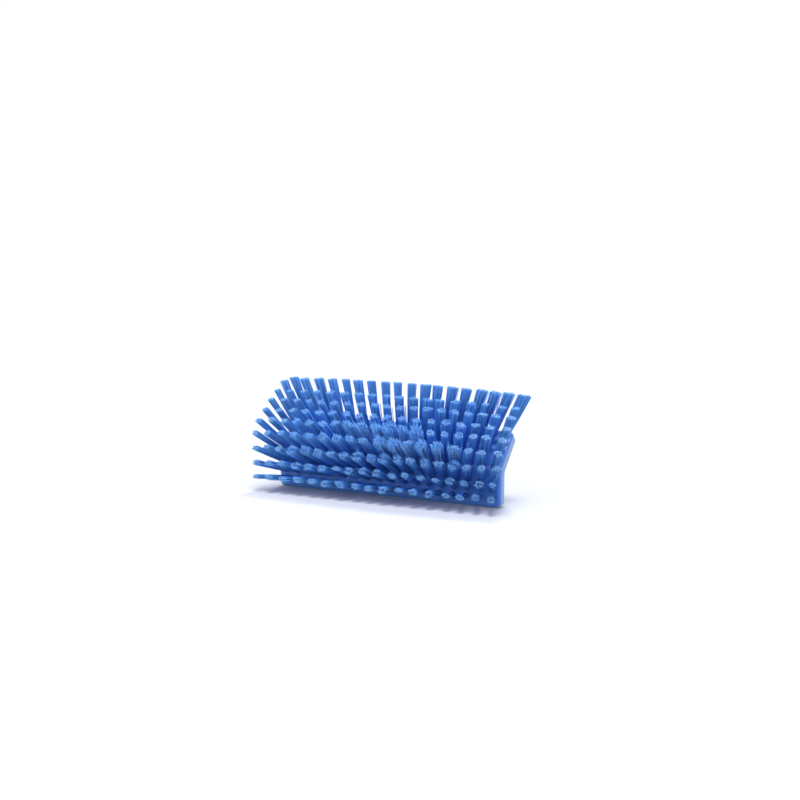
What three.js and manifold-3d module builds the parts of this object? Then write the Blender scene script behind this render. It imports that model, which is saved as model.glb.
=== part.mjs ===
// Floor-and-wall scrubbing brush head: a bent plastic block with a handle socket,
// nine fanned rows of tufts, and the anchors that hold the tufts in their holes.
// Millimetres, +Z up. X runs along the brush and the tufts point to -Y and +Z.
// The origin is the middle of the foot, the flat lower edge that the brush stands on.
import * as THREE from 'three';
import { mergeVertices } from 'three/addons/utils/BufferGeometryUtils.js';
import Module from 'manifold-3d';

const wasm = await Module();
wasm.setup();

// Gap left between pieces that touch
const CLEARANCE = 0.3;

// Block: a plate with an upright lower part and an upper part that leans back
const BLOCK_LENGTH = 238;
const BLOCK_THICKNESS = 12;
const LOWER_HEIGHT = 37.3;
const UPPER_LENGTH = 45.5;
const UPPER_LEAN = THREE.MathUtils.degToRad(45);
const CORNER_RADIUS = 6;
const EDGE_RADIUS = 2;
const BEND_RADIUS = 4;

// Handle socket on the hollow side of the bend, its rim reaching down to the floor
const SOCKET_DROP = THREE.MathUtils.degToRad(30);
const SOCKET_DIAMETER = 36;
const SOCKET_DRAFT = 1.5;
const BORE_DIAMETER = 22;
const SOCKET_FLOOR = 3.5;
const RIM_CHAMFER = 1;
const MOUTH_CHAMFER = 1.5;
const ROUND_FACETS = 32;

// Tuft pattern, lowest row first
const TUFTS_PER_ROW = [17, 18, 19, 18, 19, 18, 19, 18, 19];
const TUFT_LENGTHS = [38, 37, 39.5, 41.5, 41, 39, 39, 39, 44];
const FOOT_MARGIN = 9.3;
const TOP_MARGIN = 7.9;
const END_MARGIN = 8;
const FIRST_TILT = THREE.MathUtils.degToRad(10);
const LAST_TILT = THREE.MathUtils.degToRad(88);
const END_SPLAYS = [22.5, 25, 26, 26, 26, 26, 26, 26, 27].map(THREE.MathUtils.degToRad);
const STRAIGHT_TRIM = 0.4;

// One tuft and its hole
const HOLE_DIAMETER = 5.5;
const HOLE_DEPTH = 7;
const TIP_WIDTH = 8.6;
const TIP_THICKNESS = 5.8;
const NECK_HEIGHT = 3;
const FOLD_HEIGHT = 1;
const FOLD_THICKNESS = 1;
const TUFT_FACETS = 6;

// Anchor strip through the folds of a row
const ANCHOR_WIDTH = 2;
const ANCHOR_THICKNESS = 0.5;
const ANCHOR_BITE = 1;

const blockMaterial = new THREE.MeshStandardMaterial({ color: '#3f78c0', roughness: 0.5, metalness: 0 });
const tuftMaterial = new THREE.MeshStandardMaterial({ color: '#3d72bd', roughness: 0.6, metalness: 0 });
const anchorMaterial = new THREE.MeshStandardMaterial({ color: '#b9bcc0', roughness: 0.35, metalness: 1 });

// A closed three.js geometry as a solid, without the flat triangles at the poles of turned shapes
function toSolid(geometry) {
  const bare = geometry.clone();
  bare.deleteAttribute('normal');
  bare.deleteAttribute('uv');
  const welded = mergeVertices(bare, 1e-4);
  const corners = welded.index.array;
  const triangles = [];
  for (let i = 0; i < corners.length; i += 3) {
    const [a, b, c] = corners.slice(i, i + 3);
    if (a !== b && b !== c && c !== a) triangles.push(a, b, c);
  }
  return new wasm.Manifold(new wasm.Mesh({
    numProp: 3,
    vertProperties: new Float32Array(welded.attributes.position.array),
    triVerts: new Uint32Array(triangles),
  }));
}

// A solid as a named mesh
function toMesh(name, solid, material) {
  const { vertProperties, triVerts } = solid.getMesh();
  const geometry = new THREE.BufferGeometry();
  geometry.setAttribute('position', new THREE.BufferAttribute(vertProperties, 3));
  geometry.setIndex(new THREE.BufferAttribute(triVerts, 1));
  geometry.computeVertexNormals();
  const mesh = new THREE.Mesh(geometry, material);
  mesh.name = name;
  return mesh;
}

// A closed outline with a rounded corner at each [x, y, radius]
function roundedOutline(corners) {
  const shape = new THREE.Shape();
  const points = corners.map(([x, y]) => new THREE.Vector2(x, y));
  points.forEach((corner, i) => {
    const before = points.at(i - 1).clone().sub(corner).normalize();
    const after = points[(i + 1) % points.length].clone().sub(corner).normalize();
    const setback = corners[i][2] / Math.tan(before.angleTo(after) / 2);
    const start = corner.clone().addScaledVector(before, setback);
    const end = corner.clone().addScaledVector(after, setback);
    if (i === 0) shape.moveTo(start.x, start.y);
    else shape.lineTo(start.x, start.y);
    if (setback > 0) shape.quadraticCurveTo(corner.x, corner.y, end.x, end.y);
  });
  shape.closePath();
  return shape;
}

// An outline drawn along two axes and extruded evenly both ways along the third
function prism(shape, length, xAxis, yAxis, zAxis) {
  const geometry = new THREE.ExtrudeGeometry(shape, { depth: length, bevelEnabled: false, curveSegments: 5 });
  geometry.translate(0, 0, -length / 2);
  geometry.applyMatrix4(new THREE.Matrix4().makeBasis(xAxis, yAxis, zAxis));
  return toSolid(geometry);
}

// A shape turned about its own +Y axis from [radius, height] points, lowest first
function turned(points, facets) {
  return new THREE.LatheGeometry(points.map(([r, y]) => new THREE.Vector2(r, y)), facets);
}

// A box in a row's own plane: x along the row, y from low to high along the tufts, z across
function strip(halfLength, low, high, thickness) {
  const box = new THREE.BoxGeometry(2 * halfLength, high - low, thickness);
  return toSolid(box.translate(0, (low + high) / 2, 0));
}

const X = new THREE.Vector3(1, 0, 0);
const Y = new THREE.Vector3(0, 1, 0);
const Z = new THREE.Vector3(0, 0, 1);

// Side outline of the block as [y, z]: tufted face upwards from the foot, then the back downwards
const frontY = -BLOCK_THICKNESS / 2;
const backY = BLOCK_THICKNESS / 2;
const rise = Math.cos(UPPER_LEAN);
const run = Math.sin(UPPER_LEAN);
const topFront = [frontY + UPPER_LENGTH * run, LOWER_HEIGHT + UPPER_LENGTH * rise];
const topBack = [topFront[0] + BLOCK_THICKNESS * rise, topFront[1] - BLOCK_THICKNESS * run];
const innerBend = LOWER_HEIGHT - BLOCK_THICKNESS * Math.tan(UPPER_LEAN / 2);
const sideOutline = roundedOutline([
  [frontY, 0, EDGE_RADIUS],
  [backY, 0, EDGE_RADIUS],
  [backY, innerBend, BEND_RADIUS],
  [...topBack, EDGE_RADIUS],
  [...topFront, EDGE_RADIUS],
  [frontY, LOWER_HEIGHT, BEND_RADIUS + BLOCK_THICKNESS],
]);

// Front outline of the block as [x, z], with its rounded corners
const halfLength = BLOCK_LENGTH / 2;
const frontOutline = roundedOutline([
  [-halfLength, 0, CORNER_RADIUS],
  [halfLength, 0, CORNER_RADIUS],
  [halfLength, topFront[1], CORNER_RADIUS],
  [-halfLength, topFront[1], CORNER_RADIUS],
]);

const blockDepth = 2 * (topBack[0] + BLOCK_THICKNESS);
let block = prism(sideOutline, BLOCK_LENGTH, Y, Z, X)
  .intersect(prism(frontOutline, blockDepth, X, Z, Y.clone().negate()));

// Socket axis: from the bend of the tufted face, backwards and down
const socketPlace = new THREE.Matrix4()
  .makeTranslation(0, frontY, LOWER_HEIGHT)
  .multiply(new THREE.Matrix4().makeRotationX(-SOCKET_DROP));
const socketRadius = SOCKET_DIAMETER / 2;
const boreRadius = BORE_DIAMETER / 2;
const toRim = (LOWER_HEIGHT - socketRadius * Math.cos(SOCKET_DROP)) / Math.sin(SOCKET_DROP) + RIM_CHAMFER;
const toBoreEnd = BLOCK_THICKNESS / Math.cos(SOCKET_DROP) + SOCKET_FLOOR;

const boss = toSolid(turned([
  [0, 0],
  [socketRadius + SOCKET_DRAFT, 0],
  [socketRadius, toRim - RIM_CHAMFER],
  [socketRadius - RIM_CHAMFER, toRim],
  [0, toRim],
], ROUND_FACETS).applyMatrix4(socketPlace));

// Space behind the middle of the plate, which keeps the boss off the tufted face
const middleBend = LOWER_HEIGHT - BLOCK_THICKNESS / 2 * Math.tan(UPPER_LEAN / 2);
const farBack = 2 * (toRim + SOCKET_DIAMETER);
const behindPlate = prism(roundedOutline([
  [0, -LOWER_HEIGHT, 0],
  [farBack, -LOWER_HEIGHT, 0],
  [farBack, middleBend + farBack * rise / run, 0],
  [0, middleBend, 0],
]), 2 * SOCKET_DIAMETER, Y, Z, X);
block = block.add(boss.intersect(behindPlate));

const bore = toSolid(turned([
  [0, toBoreEnd],
  [boreRadius, toBoreEnd],
  [boreRadius, toRim - MOUTH_CHAMFER],
  [boreRadius + MOUTH_CHAMFER, toRim],
  [boreRadius + MOUTH_CHAMFER, toRim + MOUTH_CHAMFER],
  [0, toRim + MOUTH_CHAMFER],
], ROUND_FACETS).applyMatrix4(socketPlace));
block = block.subtract(bore);

// Where each row starts on the tufted face, and how far its tufts tilt above the horizontal
const lastRow = TUFTS_PER_ROW.length - 1;
const rowPitch = (LOWER_HEIGHT + UPPER_LENGTH - FOOT_MARGIN - TOP_MARGIN) / lastRow;
function rowPlace(row) {
  const along = FOOT_MARGIN + row * rowPitch;
  const past = Math.max(0, along - LOWER_HEIGHT);
  const tilt = THREE.MathUtils.lerp(FIRST_TILT, LAST_TILT, row / lastRow);
  return new THREE.Matrix4()
    .makeTranslation(0, frontY + past * run, Math.min(along, LOWER_HEIGHT) + past * rise)
    .multiply(new THREE.Matrix4().makeRotationX(Math.PI - tilt));
}

// One shape set at each tuft of a row, fanned out along the brush, as one solid cut off flat below
const holeHalfSpan = halfLength - END_MARGIN;
function fan(row, shapeAt, below) {
  const count = TUFTS_PER_ROW[row];
  const reach = 2 * HOLE_DIAMETER;
  let solid = null;
  for (let i = 0; i < count; i += 1) {
    const side = 2 * i / (count - 1) - 1;
    const splay = side * END_SPLAYS[row];
    const tuft = shapeAt(splay);
    tuft.rotateZ(-splay);
    tuft.translate(side * holeHalfSpan, 0, 0);
    solid = solid ? solid.add(toSolid(tuft)) : toSolid(tuft);
  }
  return solid.subtract(strip(BLOCK_LENGTH, below - reach, below, reach));
}

// Levels along a tuft, measured from the face of the block
const tuftEnd = -HOLE_DEPTH + CLEARANCE;
const foldTop = tuftEnd + FOLD_HEIGHT;
const anchorLow = foldTop + CLEARANCE;
const anchorHigh = anchorLow + ANCHOR_WIDTH;
const windowTop = anchorHigh + CLEARANCE;

const holeRadius = HOLE_DIAMETER / 2;
const neckRadius = holeRadius - CLEARANCE;
const tipRadius = TIP_WIDTH / 2;
const rootLevel = -HOLE_DEPTH - holeRadius;
const windowThickness = ANCHOR_THICKNESS + 2 * CLEARANCE;
const tunnelThickness = Math.max(ANCHOR_THICKNESS, FOLD_THICKNESS) + 2 * CLEARANCE;

// One tuft along +Y: round in its hole, flared along the row and flatter across it at the tip
function tuftShape(length) {
  const flare = (tipRadius - neckRadius) / (length - NECK_HEIGHT);
  const shape = turned([
    [0, rootLevel],
    [neckRadius - flare * (NECK_HEIGHT - rootLevel), rootLevel],
    [tipRadius, length],
    [0, length],
  ], TUFT_FACETS);
  const points = shape.attributes.position;
  for (let i = 0; i < points.count; i += 1) {
    if (points.getY(i) > NECK_HEIGHT) points.setZ(i, points.getZ(i) * TIP_THICKNESS / TIP_WIDTH);
  }
  return shape;
}

const group = new THREE.Group();
group.name = 'scrub_brush_head';

TUFTS_PER_ROW.forEach((count, row) => {
  const place = rowPlace(row).elements;
  const lastHoleEnd = holeHalfSpan - HOLE_DEPTH * Math.tan(END_SPLAYS[row]);
  const anchorHalf = lastHoleEnd + holeRadius + ANCHOR_BITE;

  // Holes for the row, joined by the low tunnel that its folds and anchor lie in
  const holes = fan(row, () => turned([
    [0, rootLevel],
    [holeRadius, rootLevel],
    [holeRadius, HOLE_DIAMETER],
    [0, HOLE_DIAMETER],
  ], TUFT_FACETS), -HOLE_DEPTH);
  const tunnel = strip(anchorHalf + CLEARANCE, -HOLE_DEPTH, windowTop, tunnelThickness);
  block = block.subtract(holes.add(tunnel).transform(place));

  // Tufts, each folded round the anchor and flared to its cut tip, joined at their folds;
  // splayed ones are longer, because the row is trimmed between a straight line and an arc
  const tufts = fan(row, (splay) => (
    tuftShape(TUFT_LENGTHS[row] * (1 + STRAIGHT_TRIM * (1 / Math.cos(splay) - 1)))
  ), tuftEnd);
  const folds = strip(lastHoleEnd, tuftEnd, foldTop, FOLD_THICKNESS);
  const windows = strip(BLOCK_LENGTH, foldTop, windowTop, windowThickness);
  const comb = tufts.add(folds).subtract(windows);
  group.add(toMesh(`tuft_row_${row + 1}`, comb.transform(place), tuftMaterial));

  // Flat wire that pins the row's folds in their holes
  const anchor = strip(anchorHalf, anchorLow, anchorHigh, ANCHOR_THICKNESS);
  group.add(toMesh(`anchor_row_${row + 1}`, anchor.transform(place), anchorMaterial));
});

group.add(toMesh('brush_block', block, blockMaterial));

export default group;
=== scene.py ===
import math
import random

import bpy
from mathutils import Matrix, Vector


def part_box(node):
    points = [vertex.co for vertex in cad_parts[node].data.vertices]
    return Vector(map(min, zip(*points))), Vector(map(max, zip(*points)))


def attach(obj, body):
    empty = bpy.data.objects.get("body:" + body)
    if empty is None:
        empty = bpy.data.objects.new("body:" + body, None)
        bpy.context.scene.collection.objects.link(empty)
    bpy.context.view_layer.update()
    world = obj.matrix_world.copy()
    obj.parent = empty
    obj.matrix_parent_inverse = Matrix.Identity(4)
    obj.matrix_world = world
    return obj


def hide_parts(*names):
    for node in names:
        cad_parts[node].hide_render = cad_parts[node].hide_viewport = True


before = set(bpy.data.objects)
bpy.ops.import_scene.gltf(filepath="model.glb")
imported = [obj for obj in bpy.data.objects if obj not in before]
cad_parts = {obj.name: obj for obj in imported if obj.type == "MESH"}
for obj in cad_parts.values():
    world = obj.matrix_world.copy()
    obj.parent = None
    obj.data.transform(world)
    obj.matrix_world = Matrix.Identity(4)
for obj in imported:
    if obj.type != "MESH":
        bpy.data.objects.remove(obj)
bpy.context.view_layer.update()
SEED = 7
random.seed(SEED)
MM = 0.001

# Block: a bent plate as long as the frame's, tufted on the outside of its bend
block_low, block_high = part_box("brush_block")
BLOCK_LENGTH = block_high.x - block_low.x
BLOCK_THICKNESS = 12 * MM
LOWER_HEIGHT = 37.3 * MM
UPPER_LENGTH = 45.5 * MM
UPPER_LEAN = math.radians(45)
CORNER_RADIUS = 6 * MM
CORNER_STEPS = 8
BEND_RADIUS = 16 * MM
BEND_STEPS = 8
EDGE_RADIUS = 3 * MM
EDGE_STEPS = 4
SHARP_EDGE = math.radians(60)
BLOCK_SMOOTH = math.radians(35)
FRONT_Y = -BLOCK_THICKNESS / 2
BEND_POINT = Vector((0, FRONT_Y, LOWER_HEIGHT))
UP_THE_LEAN = Vector((0, math.sin(UPPER_LEAN), math.cos(UPPER_LEAN)))

# Handle socket: its axis starts at the bend of the tufted face and runs back and down to the rim. The seam with the
# plate lies within SEAM_REACH of the way there
SOCKET_DROP = math.radians(30)
SOCKET_RADIUS = 18 * MM
SOCKET_DRAFT = 1.5 * MM
SOCKET_SIDES = 64
SOCKET_FILLET = 3 * MM
FILLET_STEPS = 5
SEAM_REACH = 0.8
SEAM_SLACK = 0.1 * MM
BORE_RADIUS = 11 * MM
END_FACING = 0.9
MOUTH_FLARE = 1.5 * MM
RIM_ROUND = 1 * MM
RIM_STEPS = 4
RIM_CLEAR = 0.02 * MM
SOCKET_FLOOR = 3.5 * MM
RIM_HEIGHT = RIM_ROUND + (SOCKET_RADIUS - RIM_ROUND) * math.cos(SOCKET_DROP)
TO_RIM = (LOWER_HEIGHT - RIM_HEIGHT - RIM_CLEAR) / math.sin(SOCKET_DROP) + RIM_ROUND
TO_BORE_END = BLOCK_THICKNESS / math.cos(SOCKET_DROP) + SOCKET_FLOOR
SOCKET_TURN = Matrix.Rotation(-SOCKET_DROP - math.pi / 2, 4, "X")
SOCKET_PLACE = Matrix.Translation(BEND_POINT) @ SOCKET_TURN

# Screw thread in the bore: its root and its start are in pitches, its crest is a share of the root, and its steps
# are those of one turn
THREAD_PITCH = 5 * MM
THREAD_DEPTH = 1.3 * MM
THREAD_TURNS = 4.5
THREAD_STEPS = 48
THREAD_ROOT = 0.55
THREAD_CREST = 0.5
THREAD_START = 0.6
THREAD_CORNERS = 4

# Tuft pattern, lowest row first
TUFTS_PER_ROW = [17, 18, 19, 18, 19, 18, 19, 18, 19]
TUFT_LENGTHS = [length * MM for length in (38, 37, 39.5, 41.5, 41, 39, 39, 39, 44)]
END_SPLAYS = [math.radians(angle) for angle in (22.5, 25, 26, 26, 26, 26, 26, 26, 27)]
LAST_ROW = len(TUFTS_PER_ROW) - 1
FIRST_TILT = math.radians(10)
LAST_TILT = math.radians(88)
FOOT_MARGIN = 9.3 * MM
TOP_MARGIN = 7.9 * MM
END_MARGIN = 8 * MM
ROW_PITCH = (LOWER_HEIGHT + UPPER_LENGTH - FOOT_MARGIN - TOP_MARGIN) / LAST_ROW
STRAIGHT_TRIM = 0.4
HOLE_RADIUS = 2.75 * MM
HOLE_DEPTH = 7 * MM
HOLE_SIDES = 20

# Tuft styles: filaments, width and thickness at the tip, fray, unevenness of the cut, and how far down the
# filaments take the pale cut-end colour (below 0, the pale end is shorter than usual). That reach is partly worn,
# frayed tips and partly painted light: it lightens the low, middle and burst tufts and darkens the high rows.
TUFT_STYLES = {
    "low": (84, 8 * MM, 5 * MM, 1, 0.015, 0.3),
    "middle": (92, 9.2 * MM, 6.8 * MM, 1.5, 0.025, 0.75),
    "burst": (140, 12 * MM, 9 * MM, 1.5, 0.06, 1),
    "high": (84, 8.3 * MM, 6.4 * MM, 0.9, 0.012, -0.4),
    "end": (84, 7.8 * MM, 5.2 * MM, 0.6, 0.008, 0),
    "top": (96, 10.1 * MM, 6.6 * MM, 0.9, 0.008, 0),
}
BUNDLES_PER_STYLE = 7
ROW_STYLES = ["low", "low", "middle", "middle", "high", "high", "high", "high", "top"]
# Along a row, sides run from -1 at the left end to 1 at the right. Tufts further out than END_STYLED are neat, those
# between a row's two sides in BURSTS are burst open, and WIDENING makes a row's tufts wider towards the right
END_STYLED = 0.72
BURSTS = {3: (-0.05, 0.7), 4: (-0.28, 0.4)}
WIDENING = [-0.12, -0.12, 0, 0, 0, 0.1, 0.1, 0.1, 0.1]
# End tufts that differ from their row, by row and side: lean, length and width against the row's
ODD_TUFTS = {
    (0, -1): (0, 0.95, 0.75),
    (0, 1): (0, 1, 0.92),
    (1, -1): (0, 0.96, 0.9),
    (2, -1): (0, 0.95, 1),
    (3, -1): (0, 0.96, 1),
    (4, -1): (0, 0.97, 1),
    (8, -1): (math.radians(3.5), 0.9, 0.85),
    (8, 1): (math.radians(1), 1, 1.12),
}
TUFT_VARIETY = 0.05
TUFT_LEAN = math.radians(0.9)
TUFT_TURN = math.radians(8)
CUT_SLANT = 0.6

# Filaments: packed at the root, flared and a little unruly at the tip
FILAMENT_RADIUS = 0.29 * MM
FILAMENT_SIDES = 6
FILAMENT_CUTS = 3
LONG_EDGE = 0.5
FILAMENT_SMOOTH = math.radians(70)
ROOT_DEPTH = 5.8 * MM
ROOT_RADIUS = 2.35 * MM
HALF_SPREAD = 0.45 * MM
TIP_SPREAD = 0.35 * MM
STRAY_SPREAD = 0.9 * MM
STRAY_SHARE = 0.05
BOW = 0.15 * MM
FLARE_POWER = 0.8
FLARE_RANGE = (0.92, 1.08)
GOLDEN_TURN = math.pi * (3 - math.sqrt(5))
TURN_JITTER = 0.3

# One anchor, across the fold at the bottom of a hole
ANCHOR_LENGTH = 7 * MM
ANCHOR_THICKNESS = 0.5 * MM
ANCHOR_WIDTH = 2 * MM
ANCHOR_DEPTH = 4.4 * MM
ANCHOR_EASE = 0.15 * MM
ANCHOR_STEPS = 2

# Colours, linear
BLOCK_DARK = (0.025, 0.15, 0.55)
BLOCK_LIGHT = (0.033, 0.175, 0.61)
BLOCK_SHEEN = (0.75, 1.0, 0.90)
# ROOT_BLUE is a little bluer than the body: painted blue light in the shaded gaps between tufts. CUT_BLUE is paler:
# partly the cut faces' own look, partly a painted highlight where the tips catch the light.
ROOT_BLUE = (0.085, 0.29, 0.94)
BODY_BLUE = (0.09, 0.295, 0.89)
TIP_BLUE = (0.092, 0.295, 0.89)
CUT_BLUE = (0.165, 0.40, 0.95)
WIRE_DARK = (0.45, 0.46, 0.48)
WIRE_LIGHT = (0.62, 0.63, 0.65)

# Finishes: mottle scale, grain scale, least and greatest roughness, strength of the grain's relief
BLOCK_FINISH = (45, 900, 0.38, 0.55, 0.12)
FILAMENT_FINISH = (300, 2500, 0.32, 0.5, 0.05)
WIRE_FINISH = (200, 1500, 0.22, 0.42, 0.05)
MOTTLE_DETAIL = 4
GRAIN_DETAIL = 3
GRAIN_RELIEF = 0.2 * MM
BLOCK_COAT = 0.5
BLOCK_COAT_ROUGHNESS = 0.2
BLOCK_SHEEN_ROUGHNESS = 0.45
FILAMENT_SPECULAR = 0.3
FILAMENT_GLOW = 0.8
GLOW_RADIUS = (0.6, 0.8, 1.0)
GLOW_SCALE = 2 * MM
# Colours from root to cut end (the root's extra blue is painted light in the shaded gaps, the pale cut end partly a
# painted highlight), and the span of shades among filaments for each colour of the grain
FILAMENT_STOPS = ((0.3, ROOT_BLUE), (0.7, BODY_BLUE), (0.96, TIP_BLUE))
FILAMENT_SHADES = (("Dark", 0.72, 1.0), ("Light", 0.95, 1.3))

# Light and floor: each lamp's strength, spread in degrees and the direction it shines from
SKY_LEVEL = 0.5
LAMPS = {
    "top lamp": (1.65, 16, (-0.05, 0.52, 1)),
    "main lamp": (2.4, 24, (0.1, -0.22, 1)),
    "left lamp": (1.0, 60, (-0.5, -0.9, 0.6)),
    "right lamp": (0.75, 50, (1, -0.35, 0.5)),
}
FLOOR_SIZE = 40
FLOOR_BOUNCE = (0.5, 0.5, 0.5)
# The floor's colour for camera rays, clipped to white where fully lit; its blue cast is painted light that tints the
# brush's shadow blue.
FLOOR_SEEN = (0.54, 0.556, 0.632)

# Camera, fitted to the tuft tips in the photograph
VIEW_AZIMUTH = math.radians(27.1)
VIEW_ELEVATION = math.radians(10.5)
VIEW_DISTANCE = 1.668
VIEW_CENTRE = Vector((0, FRONT_Y, 45.8 * MM))
VIEW_REACH = 50
AIM_RIGHT = 13.05 * MM
AIM_UP = 48.2 * MM
LENS = 78.3


def add_camera():
    """Camera at the photograph's angle, aimed a little above and to the right of the brush."""
    flat = math.cos(VIEW_ELEVATION)
    back = Vector((math.sin(VIEW_AZIMUTH) * flat, -math.cos(VIEW_AZIMUTH) * flat, math.sin(VIEW_ELEVATION)))
    right = Vector((math.cos(VIEW_AZIMUTH), math.sin(VIEW_AZIMUTH), 0))
    aim = VIEW_CENTRE + right * AIM_RIGHT + back.cross(right) * AIM_UP
    place = VIEW_CENTRE + back * VIEW_DISTANCE
    bpy.ops.object.camera_add(location=place, rotation=(aim - place).to_track_quat("-Z", "Y").to_euler())
    camera = bpy.context.object
    camera.data.lens = LENS
    camera.data.clip_end = VIEW_REACH
    bpy.context.scene.camera = camera


def only(piece):
    """Makes one object the only selected and active one."""
    bpy.ops.object.select_all(action="DESELECT")
    piece.select_set(True)
    bpy.context.view_layer.objects.active = piece


def pick(piece, kind, test):
    """Goes into edit mode with just the vertices, edges or faces that pass the test selected."""
    only(piece)
    bpy.ops.object.mode_set(mode="EDIT")
    bpy.ops.mesh.select_mode(type=kind)
    bpy.ops.mesh.select_all(action="DESELECT")
    bpy.ops.object.mode_set(mode="OBJECT")
    parts = {"VERT": piece.data.vertices, "EDGE": piece.data.edges, "FACE": piece.data.polygons}[kind]
    for part in parts:
        part.select = test(part)
    bpy.ops.object.mode_set(mode="EDIT")


def pick_edges(piece, test):
    """Selects the edges whose two ends both pass a test of their place."""
    vertices = piece.data.vertices
    pick(piece, "EDGE", lambda edge: all(test(vertices[v].co) for v in edge.vertices))


def done():
    """Leaves edit mode."""
    bpy.ops.object.mode_set(mode="OBJECT")


def apply(piece, kind, **settings):
    """Adds a modifier with these settings and applies it."""
    only(piece)
    modifier = piece.modifiers.new(kind.lower(), kind)
    for name, value in settings.items():
        setattr(modifier, name, value)
    bpy.ops.object.modifier_apply(modifier=modifier.name)


def settle(piece):
    """Puts an object's place into its mesh."""
    only(piece)
    bpy.ops.object.transform_apply(location=True, rotation=True, scale=True)


def copy_of(piece, place):
    """A copy with its own mesh, moved by a matrix."""
    twin = piece.copy()
    twin.data = piece.data.copy()
    bpy.context.scene.collection.objects.link(twin)
    twin.data.transform(place)
    return twin


def joined(pieces, name):
    """Several objects as one with a name."""
    bpy.ops.object.select_all(action="DESELECT")
    for piece in pieces:
        piece.select_set(True)
    bpy.context.view_layer.objects.active = pieces[0]
    bpy.ops.object.join()
    whole = bpy.context.object
    whole.name = whole.data.name = name
    return whole


def combine(piece, tool, operation):
    """Adds a tool to a piece or cuts it away, and removes the tool."""
    apply(piece, "BOOLEAN", object=tool, operation=operation, solver="EXACT")
    bpy.data.objects.remove(tool)


def row_place(row):
    """Where a row starts on the tufted face, turned so that Z runs along its middle tuft and X along the brush."""
    along = FOOT_MARGIN + row * ROW_PITCH
    past = max(0, along - LOWER_HEIGHT)
    start = Vector((0, FRONT_Y, min(along, LOWER_HEIGHT))) + UP_THE_LEAN * past
    tilt = FIRST_TILT + (LAST_TILT - FIRST_TILT) * row / LAST_ROW
    return Matrix.Translation(start) @ Matrix.Rotation(math.pi / 2 - tilt, 4, "X")


def tuft_sides(row):
    """Where each tuft of a row stands, from -1 at the left end to 1 at the right."""
    count = TUFTS_PER_ROW[row]
    return [2 * i / (count - 1) - 1 for i in range(count)]


def tuft_place(row, side):
    """The place of a tuft, with Z along the tuft and zero at the mouth of its hole."""
    across = Matrix.Translation((side * (BLOCK_LENGTH / 2 - END_MARGIN), 0, 0))
    return row_place(row) @ across @ Matrix.Rotation(side * END_SPLAYS[row], 4, "Y")


def make_plate():
    """The bent plate: two flat faces with rounded corners and bend, thickened backwards, its edges rounded."""
    bpy.ops.object.select_all(action="DESELECT")
    bpy.ops.mesh.primitive_plane_add(size=1, rotation=(math.pi / 2, 0, 0))
    plate = bpy.context.object
    plate.scale = (BLOCK_LENGTH, LOWER_HEIGHT, 1)
    plate.location = (0, FRONT_Y, LOWER_HEIGHT / 2)
    settle(plate)
    at_bend = lambda co: abs(co.z - LOWER_HEIGHT) < MM
    pick_edges(plate, at_bend)
    bpy.ops.mesh.extrude_region_move(TRANSFORM_OT_translate={"value": UP_THE_LEAN * UPPER_LENGTH})
    done()
    pick(plate, "VERT", lambda vertex: not at_bend(vertex.co))
    bpy.ops.mesh.bevel(offset=CORNER_RADIUS, offset_type="OFFSET", segments=CORNER_STEPS, affect="VERTICES")
    done()
    pick_edges(plate, at_bend)
    bpy.ops.mesh.bevel(offset=BEND_RADIUS * math.tan(UPPER_LEAN / 2), segments=BEND_STEPS)
    bpy.ops.mesh.select_all(action="SELECT")
    bpy.ops.mesh.normals_make_consistent(inside=False)
    done()
    if plate.data.polygons[0].normal.y > 0:
        plate.data.flip_normals()
    apply(plate, "SOLIDIFY", thickness=BLOCK_THICKNESS, offset=-1, use_even_offset=True)
    apply(plate, "BEVEL", width=EDGE_RADIUS, segments=EDGE_STEPS, limit_method="ANGLE", angle_limit=SHARP_EDGE)
    return plate


def make_boss():
    """The socket's outside: a tapered cylinder with a rounded rim, cut off inside the plate."""
    bpy.ops.object.select_all(action="DESELECT")
    bpy.ops.mesh.primitive_cone_add(vertices=SOCKET_SIDES, radius1=SOCKET_RADIUS + SOCKET_DRAFT,
                                    radius2=SOCKET_RADIUS, depth=TO_RIM, location=(0, 0, TO_RIM / 2))
    boss = bpy.context.object
    settle(boss)
    pick_edges(boss, lambda co: co.z > TO_RIM - MM)
    bpy.ops.mesh.bevel(offset=RIM_ROUND, segments=RIM_STEPS)
    done()
    boss.data.transform(SOCKET_PLACE)
    for backwards in (Vector((0, 1, 0)), UP_THE_LEAN.cross(Vector((1, 0, 0)))):
        inside = BEND_POINT + backwards * BLOCK_THICKNESS / 2
        pick(boss, "FACE", lambda face: True)
        bpy.ops.mesh.bisect(plane_co=inside, plane_no=backwards, use_fill=True, clear_inner=True)
        done()
    return boss


def make_bore():
    """The space inside the socket, with a countersunk mouth."""
    bpy.ops.object.select_all(action="DESELECT")
    bpy.ops.mesh.primitive_cylinder_add(vertices=SOCKET_SIDES, radius=BORE_RADIUS, depth=TO_RIM - TO_BORE_END,
                                        location=(0, 0, (TO_RIM + TO_BORE_END) / 2))
    bore = bpy.context.object
    settle(bore)
    pick(bore, "FACE", lambda face: face.normal.z > END_FACING)
    bpy.ops.mesh.inset(thickness=0)
    bpy.ops.transform.translate(value=(0, 0, MOUTH_FLARE))
    widen = (BORE_RADIUS + 2 * MOUTH_FLARE) / BORE_RADIUS
    bpy.ops.transform.resize(value=(widen, widen, 1))
    done()
    bore.data.transform(SOCKET_PLACE @ Matrix.Translation((0, 0, -MOUTH_FLARE / 2)))
    return bore


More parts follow.
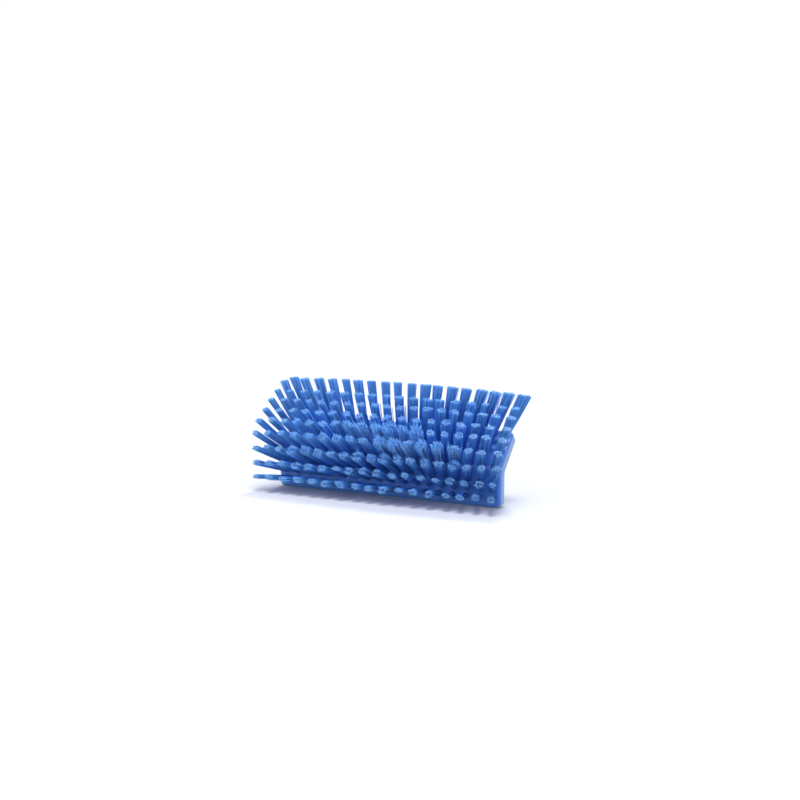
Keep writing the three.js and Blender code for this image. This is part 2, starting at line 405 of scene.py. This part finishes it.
def make_thread():
    """The socket's screw thread: a ridge with sloping flanks, wound up the bore and closed at both ends."""
    bpy.ops.object.select_all(action="DESELECT")
    bpy.ops.mesh.primitive_plane_add(size=1, rotation=(math.pi / 2, 0, 0))
    thread = bpy.context.object
    thread.scale = (THREAD_DEPTH * 2, THREAD_PITCH * THREAD_ROOT, 1)
    thread.location = (BORE_RADIUS, 0, 0)
    settle(thread)
    pick(thread, "VERT", lambda vertex: vertex.co.x < BORE_RADIUS)
    bpy.ops.transform.resize(value=(1, 1, THREAD_CREST), center_override=(BORE_RADIUS, 0, 0))
    bpy.ops.mesh.select_all(action="SELECT")
    bpy.ops.mesh.delete(type="ONLY_FACE")
    done()
    steps = int(THREAD_TURNS * THREAD_STEPS)
    apply(thread, "SCREW", axis="Z", angle=THREAD_TURNS * 2 * math.pi,
          screw_offset=THREAD_TURNS * THREAD_PITCH, steps=steps, render_steps=steps)
    pick(thread, "FACE", lambda face: True)
    bpy.ops.mesh.fill_holes(sides=THREAD_CORNERS)
    bpy.ops.mesh.select_all(action="SELECT")
    bpy.ops.mesh.normals_make_consistent(inside=False)
    done()
    thread.data.transform(SOCKET_PLACE @ Matrix.Translation((0, 0, TO_BORE_END + THREAD_PITCH * THREAD_START)))
    return thread


def make_holes():
    """Every tuft hole of the block, as one tool."""
    bpy.ops.object.select_all(action="DESELECT")
    above = 2 * HOLE_RADIUS
    bpy.ops.mesh.primitive_cylinder_add(vertices=HOLE_SIDES, radius=HOLE_RADIUS, depth=HOLE_DEPTH + above,
                                        location=(0, 0, (above - HOLE_DEPTH) / 2))
    hole = bpy.context.object
    settle(hole)
    holes = [copy_of(hole, tuft_place(row, side)) for row in range(LAST_ROW + 1) for side in tuft_sides(row)]
    bpy.data.objects.remove(hole)
    return joined(holes, "holes")


def make_block():
    """The moulding: plate and socket in one, filleted where they meet, with its bore, thread and tuft holes."""
    block = make_plate()
    block.name = block.data.name = "moulded_block"
    combine(block, make_boss(), "UNION")
    to_socket = SOCKET_PLACE.inverted()

    def on_seam(co):
        local = to_socket @ co
        wall = SOCKET_RADIUS + SOCKET_DRAFT * (1 - local.z / TO_RIM)
        return local.z < TO_RIM * SEAM_REACH and abs(local.xy.length - wall) < SEAM_SLACK

    pick_edges(block, on_seam)
    bpy.ops.mesh.bevel(offset=SOCKET_FILLET, segments=FILLET_STEPS, clamp_overlap=False)
    done()
    combine(block, make_bore(), "DIFFERENCE")
    combine(block, make_thread(), "UNION")
    combine(block, make_holes(), "DIFFERENCE")
    only(block)
    bpy.ops.object.shade_smooth_by_angle(angle=BLOCK_SMOOTH)
    apply(block, "WEIGHTED_NORMAL", keep_sharp=True)
    return block


def make_filament():
    """One straight filament a unit long, cut into lengths so that it can bend."""
    bpy.ops.object.select_all(action="DESELECT")
    bpy.ops.mesh.primitive_cylinder_add(vertices=FILAMENT_SIDES, radius=FILAMENT_RADIUS, depth=1,
                                        location=(0, 0, 0.5))
    filament = bpy.context.object
    settle(filament)
    heights = [vertex.co.z for vertex in filament.data.vertices]
    rise = lambda edge: abs(heights[edge.vertices[0]] - heights[edge.vertices[1]])
    pick(filament, "EDGE", lambda edge: rise(edge) > LONG_EDGE)
    bpy.ops.mesh.subdivide(number_cuts=FILAMENT_CUTS)
    done()
    only(filament)
    bpy.ops.object.shade_smooth_by_angle(angle=FILAMENT_SMOOTH)
    return filament


def shape_filament(filament, root, tip, bow, length, shade, worn):
    """Runs a filament from its root to its tip with a bow between. Its UV holds a shade of its own and the height
    from root to cut end, which the last argument pulls towards the pale cut end, partly as worn tips and partly as
    painted light."""
    mesh = filament.data
    uv = mesh.uv_layers.active.data
    for loop in mesh.loops:
        up = mesh.vertices[loop.vertex_index].co.z
        uv[loop.index].uv = (shade, 1 - (1 - up) * (1 - worn))
    for vertex in mesh.vertices:
        up = vertex.co.z
        aside = root.lerp(tip, up ** FLARE_POWER) + bow * math.sin(math.pi * up)
        vertex.co = Vector((vertex.co.x + aside.x, vertex.co.y + aside.y, up * length))


def scatter(spread):
    """A small step in a random direction."""
    return Vector((random.gauss(0, spread), random.gauss(0, spread)))


def make_bundle(filament, count, width, thickness, fray, uneven, worn):
    """A tuft's filaments: packed either side of the anchor in the hole, flared and a little uneven at the cut."""
    parts = []
    flare = Vector((width, thickness)) / 2 * random.uniform(*FLARE_RANGE)
    halves = scatter(HALF_SPREAD * fray)
    for i in range(count):
        out = math.sqrt((i + 0.5) / count)
        turn = i * GOLDEN_TURN + random.uniform(-TURN_JITTER, TURN_JITTER)
        ray = Vector((math.cos(turn), math.sin(turn))) * out
        root = ray * ROOT_RADIUS
        root.y = math.copysign(max(abs(root.y), ANCHOR_THICKNESS / 2 + FILAMENT_RADIUS), root.y)
        stray = STRAY_SPREAD if random.random() < STRAY_SHARE * fray else TIP_SPREAD
        tip = ray * flare + halves * math.copysign(1, root.y) + scatter(stray * fray)
        bow = scatter(BOW * fray)
        part = copy_of(filament, Matrix.Identity(4))
        shape_filament(part, root, tip, bow, random.gauss(1, uneven), random.random(), worn)
        parts.append(part)
    return joined(parts, "bundle")


def tuft_style(row, side):
    """The style of a tuft: its row's, but neater at the ends of most rows and burst open in places."""
    if 1 < row < LAST_ROW and abs(side) > END_STYLED:
        return "end"
    low, high = BURSTS.get(row, (0, 0))
    return "burst" if low < side < high else ROW_STYLES[row]


def make_tuft_row(row, bundles):
    """A row of tufts, each a bundle set in its hole with its own small lean, turn and shade."""
    tufts = []
    for side in tuft_sides(row):
        splay = side * END_SPLAYS[row]
        length = TUFT_LENGTHS[row] * (1 + STRAIGHT_TRIM * (1 / math.cos(splay) - 1))
        odd_lean, odd_length, odd_width = ODD_TUFTS.get((row, side), (0, 1, 1))
        odd_width *= random.gauss(1, TUFT_VARIETY) + WIDENING[row] * side
        lean = Matrix.Rotation(random.gauss(0, TUFT_LEAN), 4, "X")
        lean @= Matrix.Rotation(odd_lean + random.gauss(0, TUFT_LEAN), 4, "Y")
        slant = Matrix.Identity(4)
        slant[2][0] = CUT_SLANT * math.tan(splay)
        down = Matrix.Translation((0, 0, -ROOT_DEPTH))
        turn = Matrix.Rotation(random.choice((0, math.pi)) + random.gauss(0, TUFT_TURN), 4, "Z")
        tall = Matrix.Diagonal((odd_width, 1, ROOT_DEPTH + length * odd_length, 1))
        bundle = random.choice(bundles[tuft_style(row, side)])
        tuft = copy_of(bundle, tuft_place(row, side) @ lean @ slant @ down @ turn @ tall)
        shade = random.random()
        for corner in tuft.data.uv_layers.active.data:
            corner.uv.x += shade
        tufts.append(tuft)
    return joined(tufts, f"tufts_row_{row + 1}")


def make_anchor():
    """One anchor: a short flat of wire with eased edges, lying across the hole."""
    bpy.ops.object.select_all(action="DESELECT")
    bpy.ops.mesh.primitive_cube_add(size=1)
    anchor = bpy.context.object
    anchor.scale = (ANCHOR_LENGTH, ANCHOR_THICKNESS, ANCHOR_WIDTH)
    anchor.location = (0, 0, -ANCHOR_DEPTH)
    settle(anchor)
    apply(anchor, "BEVEL", width=ANCHOR_EASE, segments=ANCHOR_STEPS)
    return anchor


def link(tree, *joins):
    """Joins node sockets in pairs."""
    for start, end in joins:
        tree.links.new(start, end)


def fill(node, values):
    """Sets a node's inputs by name; a colour gets its alpha."""
    for socket, value in values.items():
        is_colour = node.inputs[socket].type == "RGBA"
        node.inputs[socket].default_value = (*value, 1) if is_colour else value


def add_colour_mix(tree):
    """A node that mixes two colours."""
    mix = tree.nodes.new("ShaderNodeMix")
    mix.data_type = "RGBA"
    return mix


def make_grain():
    """Node group: a broad mottle between two colours, and a fine grain for roughness and bump."""
    group = bpy.data.node_groups.new("moulded grain", "ShaderNodeTree")
    colour, number = "NodeSocketColor", "NodeSocketFloat"
    for name, kind in (("Dark", colour), ("Light", colour), ("Mottle Scale", number),
                       ("Grain Scale", number), ("Smooth", number), ("Rough", number)):
        group.interface.new_socket(name, in_out="INPUT", socket_type=kind)
    for name, kind in (("Color", colour), ("Roughness", number), ("Height", number)):
        group.interface.new_socket(name, in_out="OUTPUT", socket_type=kind)
    add = group.nodes.new
    inside, outside = add("NodeGroupInput"), add("NodeGroupOutput")
    place = add("ShaderNodeTexCoord").outputs["Object"]
    mottle, grain = add("ShaderNodeTexNoise"), add("ShaderNodeTexNoise")
    fill(mottle, {"Detail": MOTTLE_DETAIL})
    fill(grain, {"Detail": GRAIN_DETAIL})
    mix, spread = add_colour_mix(group), add("ShaderNodeMapRange")
    link(group, (place, mottle.inputs["Vector"]), (inside.outputs["Mottle Scale"], mottle.inputs["Scale"]),
         (place, grain.inputs["Vector"]), (inside.outputs["Grain Scale"], grain.inputs["Scale"]),
         (mottle.outputs["Fac"], mix.inputs["Factor"]), (inside.outputs["Dark"], mix.inputs["A"]),
         (inside.outputs["Light"], mix.inputs["B"]), (grain.outputs["Fac"], spread.inputs["Value"]),
         (inside.outputs["Smooth"], spread.inputs["To Min"]), (inside.outputs["Rough"], spread.inputs["To Max"]),
         (mix.outputs["Result"], outside.inputs["Color"]),
         (spread.outputs["Result"], outside.inputs["Roughness"]),
         (grain.outputs["Fac"], outside.inputs["Height"]))
    return group


def start_material(name, grain, finish):
    """A Principled material fed by the grain group; returns the material, its group node and its shader."""
    mottle_scale, grain_scale, smooth, rough, relief_strength = finish
    material = bpy.data.materials.new(name)
    material.use_nodes = True
    tree = material.node_tree
    shader = tree.nodes["Principled BSDF"]
    node = tree.nodes.new("ShaderNodeGroup")
    node.node_tree = grain
    fill(node, {"Mottle Scale": mottle_scale, "Grain Scale": grain_scale, "Smooth": smooth, "Rough": rough})
    relief = tree.nodes.new("ShaderNodeBump")
    fill(relief, {"Strength": relief_strength, "Distance": GRAIN_RELIEF})
    link(tree, (node.outputs["Color"], shader.inputs["Base Color"]),
         (node.outputs["Roughness"], shader.inputs["Roughness"]),
         (node.outputs["Height"], relief.inputs["Height"]), (relief.outputs["Normal"], shader.inputs["Normal"]))
    return material, node, shader


def block_plastic(grain):
    """Moulded plastic: one blue right through, faintly clouded, satin, with a pale sheen at a slant."""
    material, node, shader = start_material("block plastic", grain, BLOCK_FINISH)
    fill(node, {"Dark": BLOCK_DARK, "Light": BLOCK_LIGHT})
    fill(shader, {"Coat Weight": BLOCK_COAT, "Coat Roughness": BLOCK_COAT_ROUGHNESS, "Sheen Weight": 1,
                  "Sheen Roughness": BLOCK_SHEEN_ROUGHNESS, "Sheen Tint": BLOCK_SHEEN})
    return material


def tuft_filament(grain):
    """Filament: blue from the root up, a little bluer at the root as painted light in the shaded gaps, paler at the
    cut end partly as a painted highlight, each filament a shade of its own.
    """
    material, node, shader = start_material("tuft filament", grain, FILAMENT_FINISH)
    fill(shader, {"Specular IOR Level": FILAMENT_SPECULAR, "Subsurface Weight": FILAMENT_GLOW,
                  "Subsurface Radius": GLOW_RADIUS, "Subsurface Scale": GLOW_SCALE})
    tree = material.node_tree
    add = tree.nodes.new
    split, ramp, noise = add("ShaderNodeSeparateXYZ"), add("ShaderNodeValToRGB"), add("ShaderNodeTexWhiteNoise")
    noise.noise_dimensions = "1D"
    stops = ramp.color_ramp.elements
    for stop, colour in zip(stops, (ROOT_BLUE, CUT_BLUE)):
        stop.color = (*colour, 1)
    for where, colour in FILAMENT_STOPS:
        stops.new(where).color = (*colour, 1)
    for colour_input, darkest, lightest in FILAMENT_SHADES:
        spread, tint = add("ShaderNodeMapRange"), add_colour_mix(tree)
        fill(spread, {"To Min": darkest, "To Max": lightest})
        tint.blend_type = "MULTIPLY"
        fill(tint, {"Factor": 1})
        link(tree, (noise.outputs["Value"], spread.inputs["Value"]), (ramp.outputs["Color"], tint.inputs["A"]),
             (spread.outputs["Result"], tint.inputs["B"]), (tint.outputs["Result"], node.inputs[colour_input]))
    link(tree, (add("ShaderNodeUVMap").outputs["UV"], split.inputs["Vector"]),
         (split.outputs["X"], noise.inputs["W"]), (split.outputs["Y"], ramp.inputs["Fac"]))
    return material


def anchor_wire(grain):
    """Drawn stainless wire."""
    material, node, shader = start_material("anchor wire", grain, WIRE_FINISH)
    fill(node, {"Dark": WIRE_DARK, "Light": WIRE_LIGHT})
    fill(shader, {"Metallic": 1})
    return material


def seen_directly(tree):
    """A mask of rays that come from the camera, a reflection or through glass."""
    path = tree.nodes.new("ShaderNodeLightPath")
    total = path.outputs["Is Camera Ray"]
    for ray in ("Is Glossy Ray", "Is Transmission Ray"):
        more = tree.nodes.new("ShaderNodeMath")
        more.operation = "MAXIMUM"
        link(tree, (total, more.inputs[0]), (path.outputs[ray], more.inputs[1]))
        total = more.outputs["Value"]
    return total


def add_floor():
    """A pale floor that shows white where it is fully lit and keeps the shadow of the brush, with a painted blue
    cast in that shadow.
    """
    bpy.ops.object.select_all(action="DESELECT")
    bpy.ops.mesh.primitive_plane_add(size=FLOOR_SIZE)
    floor = bpy.context.object
    floor.name = "floor"
    material = bpy.data.materials.new("floor paper")
    material.use_nodes = True
    tree = material.node_tree
    tree.nodes.clear()
    paper, out = tree.nodes.new("ShaderNodeBsdfDiffuse"), tree.nodes.new("ShaderNodeOutputMaterial")
    tone = add_colour_mix(tree)
    fill(tone, {"A": FLOOR_BOUNCE, "B": FLOOR_SEEN})
    link(tree, (seen_directly(tree), tone.inputs["Factor"]), (tone.outputs["Result"], paper.inputs["Color"]),
         (paper.outputs["BSDF"], out.inputs["Surface"]))
    floor.data.materials.append(material)


def add_light():
    """Soft light from all round, white behind, with broad lamps above and at both sides."""
    world = bpy.data.worlds.new("studio")
    bpy.context.scene.world = world
    world.use_nodes = True
    tree = world.node_tree
    sky, level = tree.nodes["Background"], tree.nodes.new("ShaderNodeMapRange")
    fill(sky, {"Color": (1, 1, 1)})
    fill(level, {"To Min": SKY_LEVEL, "To Max": 1})
    link(tree, (seen_directly(tree), level.inputs["Value"]), (level.outputs["Result"], sky.inputs["Strength"]))
    for name, (strength, spread, source) in LAMPS.items():
        bpy.ops.object.light_add(type="SUN", rotation=Vector(source).to_track_quat("Z", "Y").to_euler())
        lamp = bpy.context.object
        lamp.name = name
        lamp.data.energy = strength
        lamp.data.angle = math.radians(spread)


def finish_piece(piece, material, node):
    """Gives a piece its material and puts it in the place of its CAD node."""
    piece.data.materials.clear()
    piece.data.materials.append(material)
    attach(piece, "root")
    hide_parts(node)


bpy.context.scene.view_settings.view_transform = "Standard"
add_camera()
add_floor()
add_light()

grain = make_grain()
plastic, filament_blue, wire = block_plastic(grain), tuft_filament(grain), anchor_wire(grain)

finish_piece(make_block(), plastic, "brush_block")

filament = make_filament()
bundles = {name: [make_bundle(filament, *style) for _ in range(BUNDLES_PER_STYLE)]
           for name, style in TUFT_STYLES.items()}
anchor = make_anchor()
for row in range(LAST_ROW + 1):
    finish_piece(make_tuft_row(row, bundles), filament_blue, f"tuft_row_{row + 1}")
    anchors = [copy_of(anchor, tuft_place(row, side)) for side in tuft_sides(row)]
    finish_piece(joined(anchors, f"anchors_row_{row + 1}"), wire, f"anchor_row_{row + 1}")
for pattern in (filament, anchor, *sum(bundles.values(), [])):
    bpy.data.objects.remove(pattern)
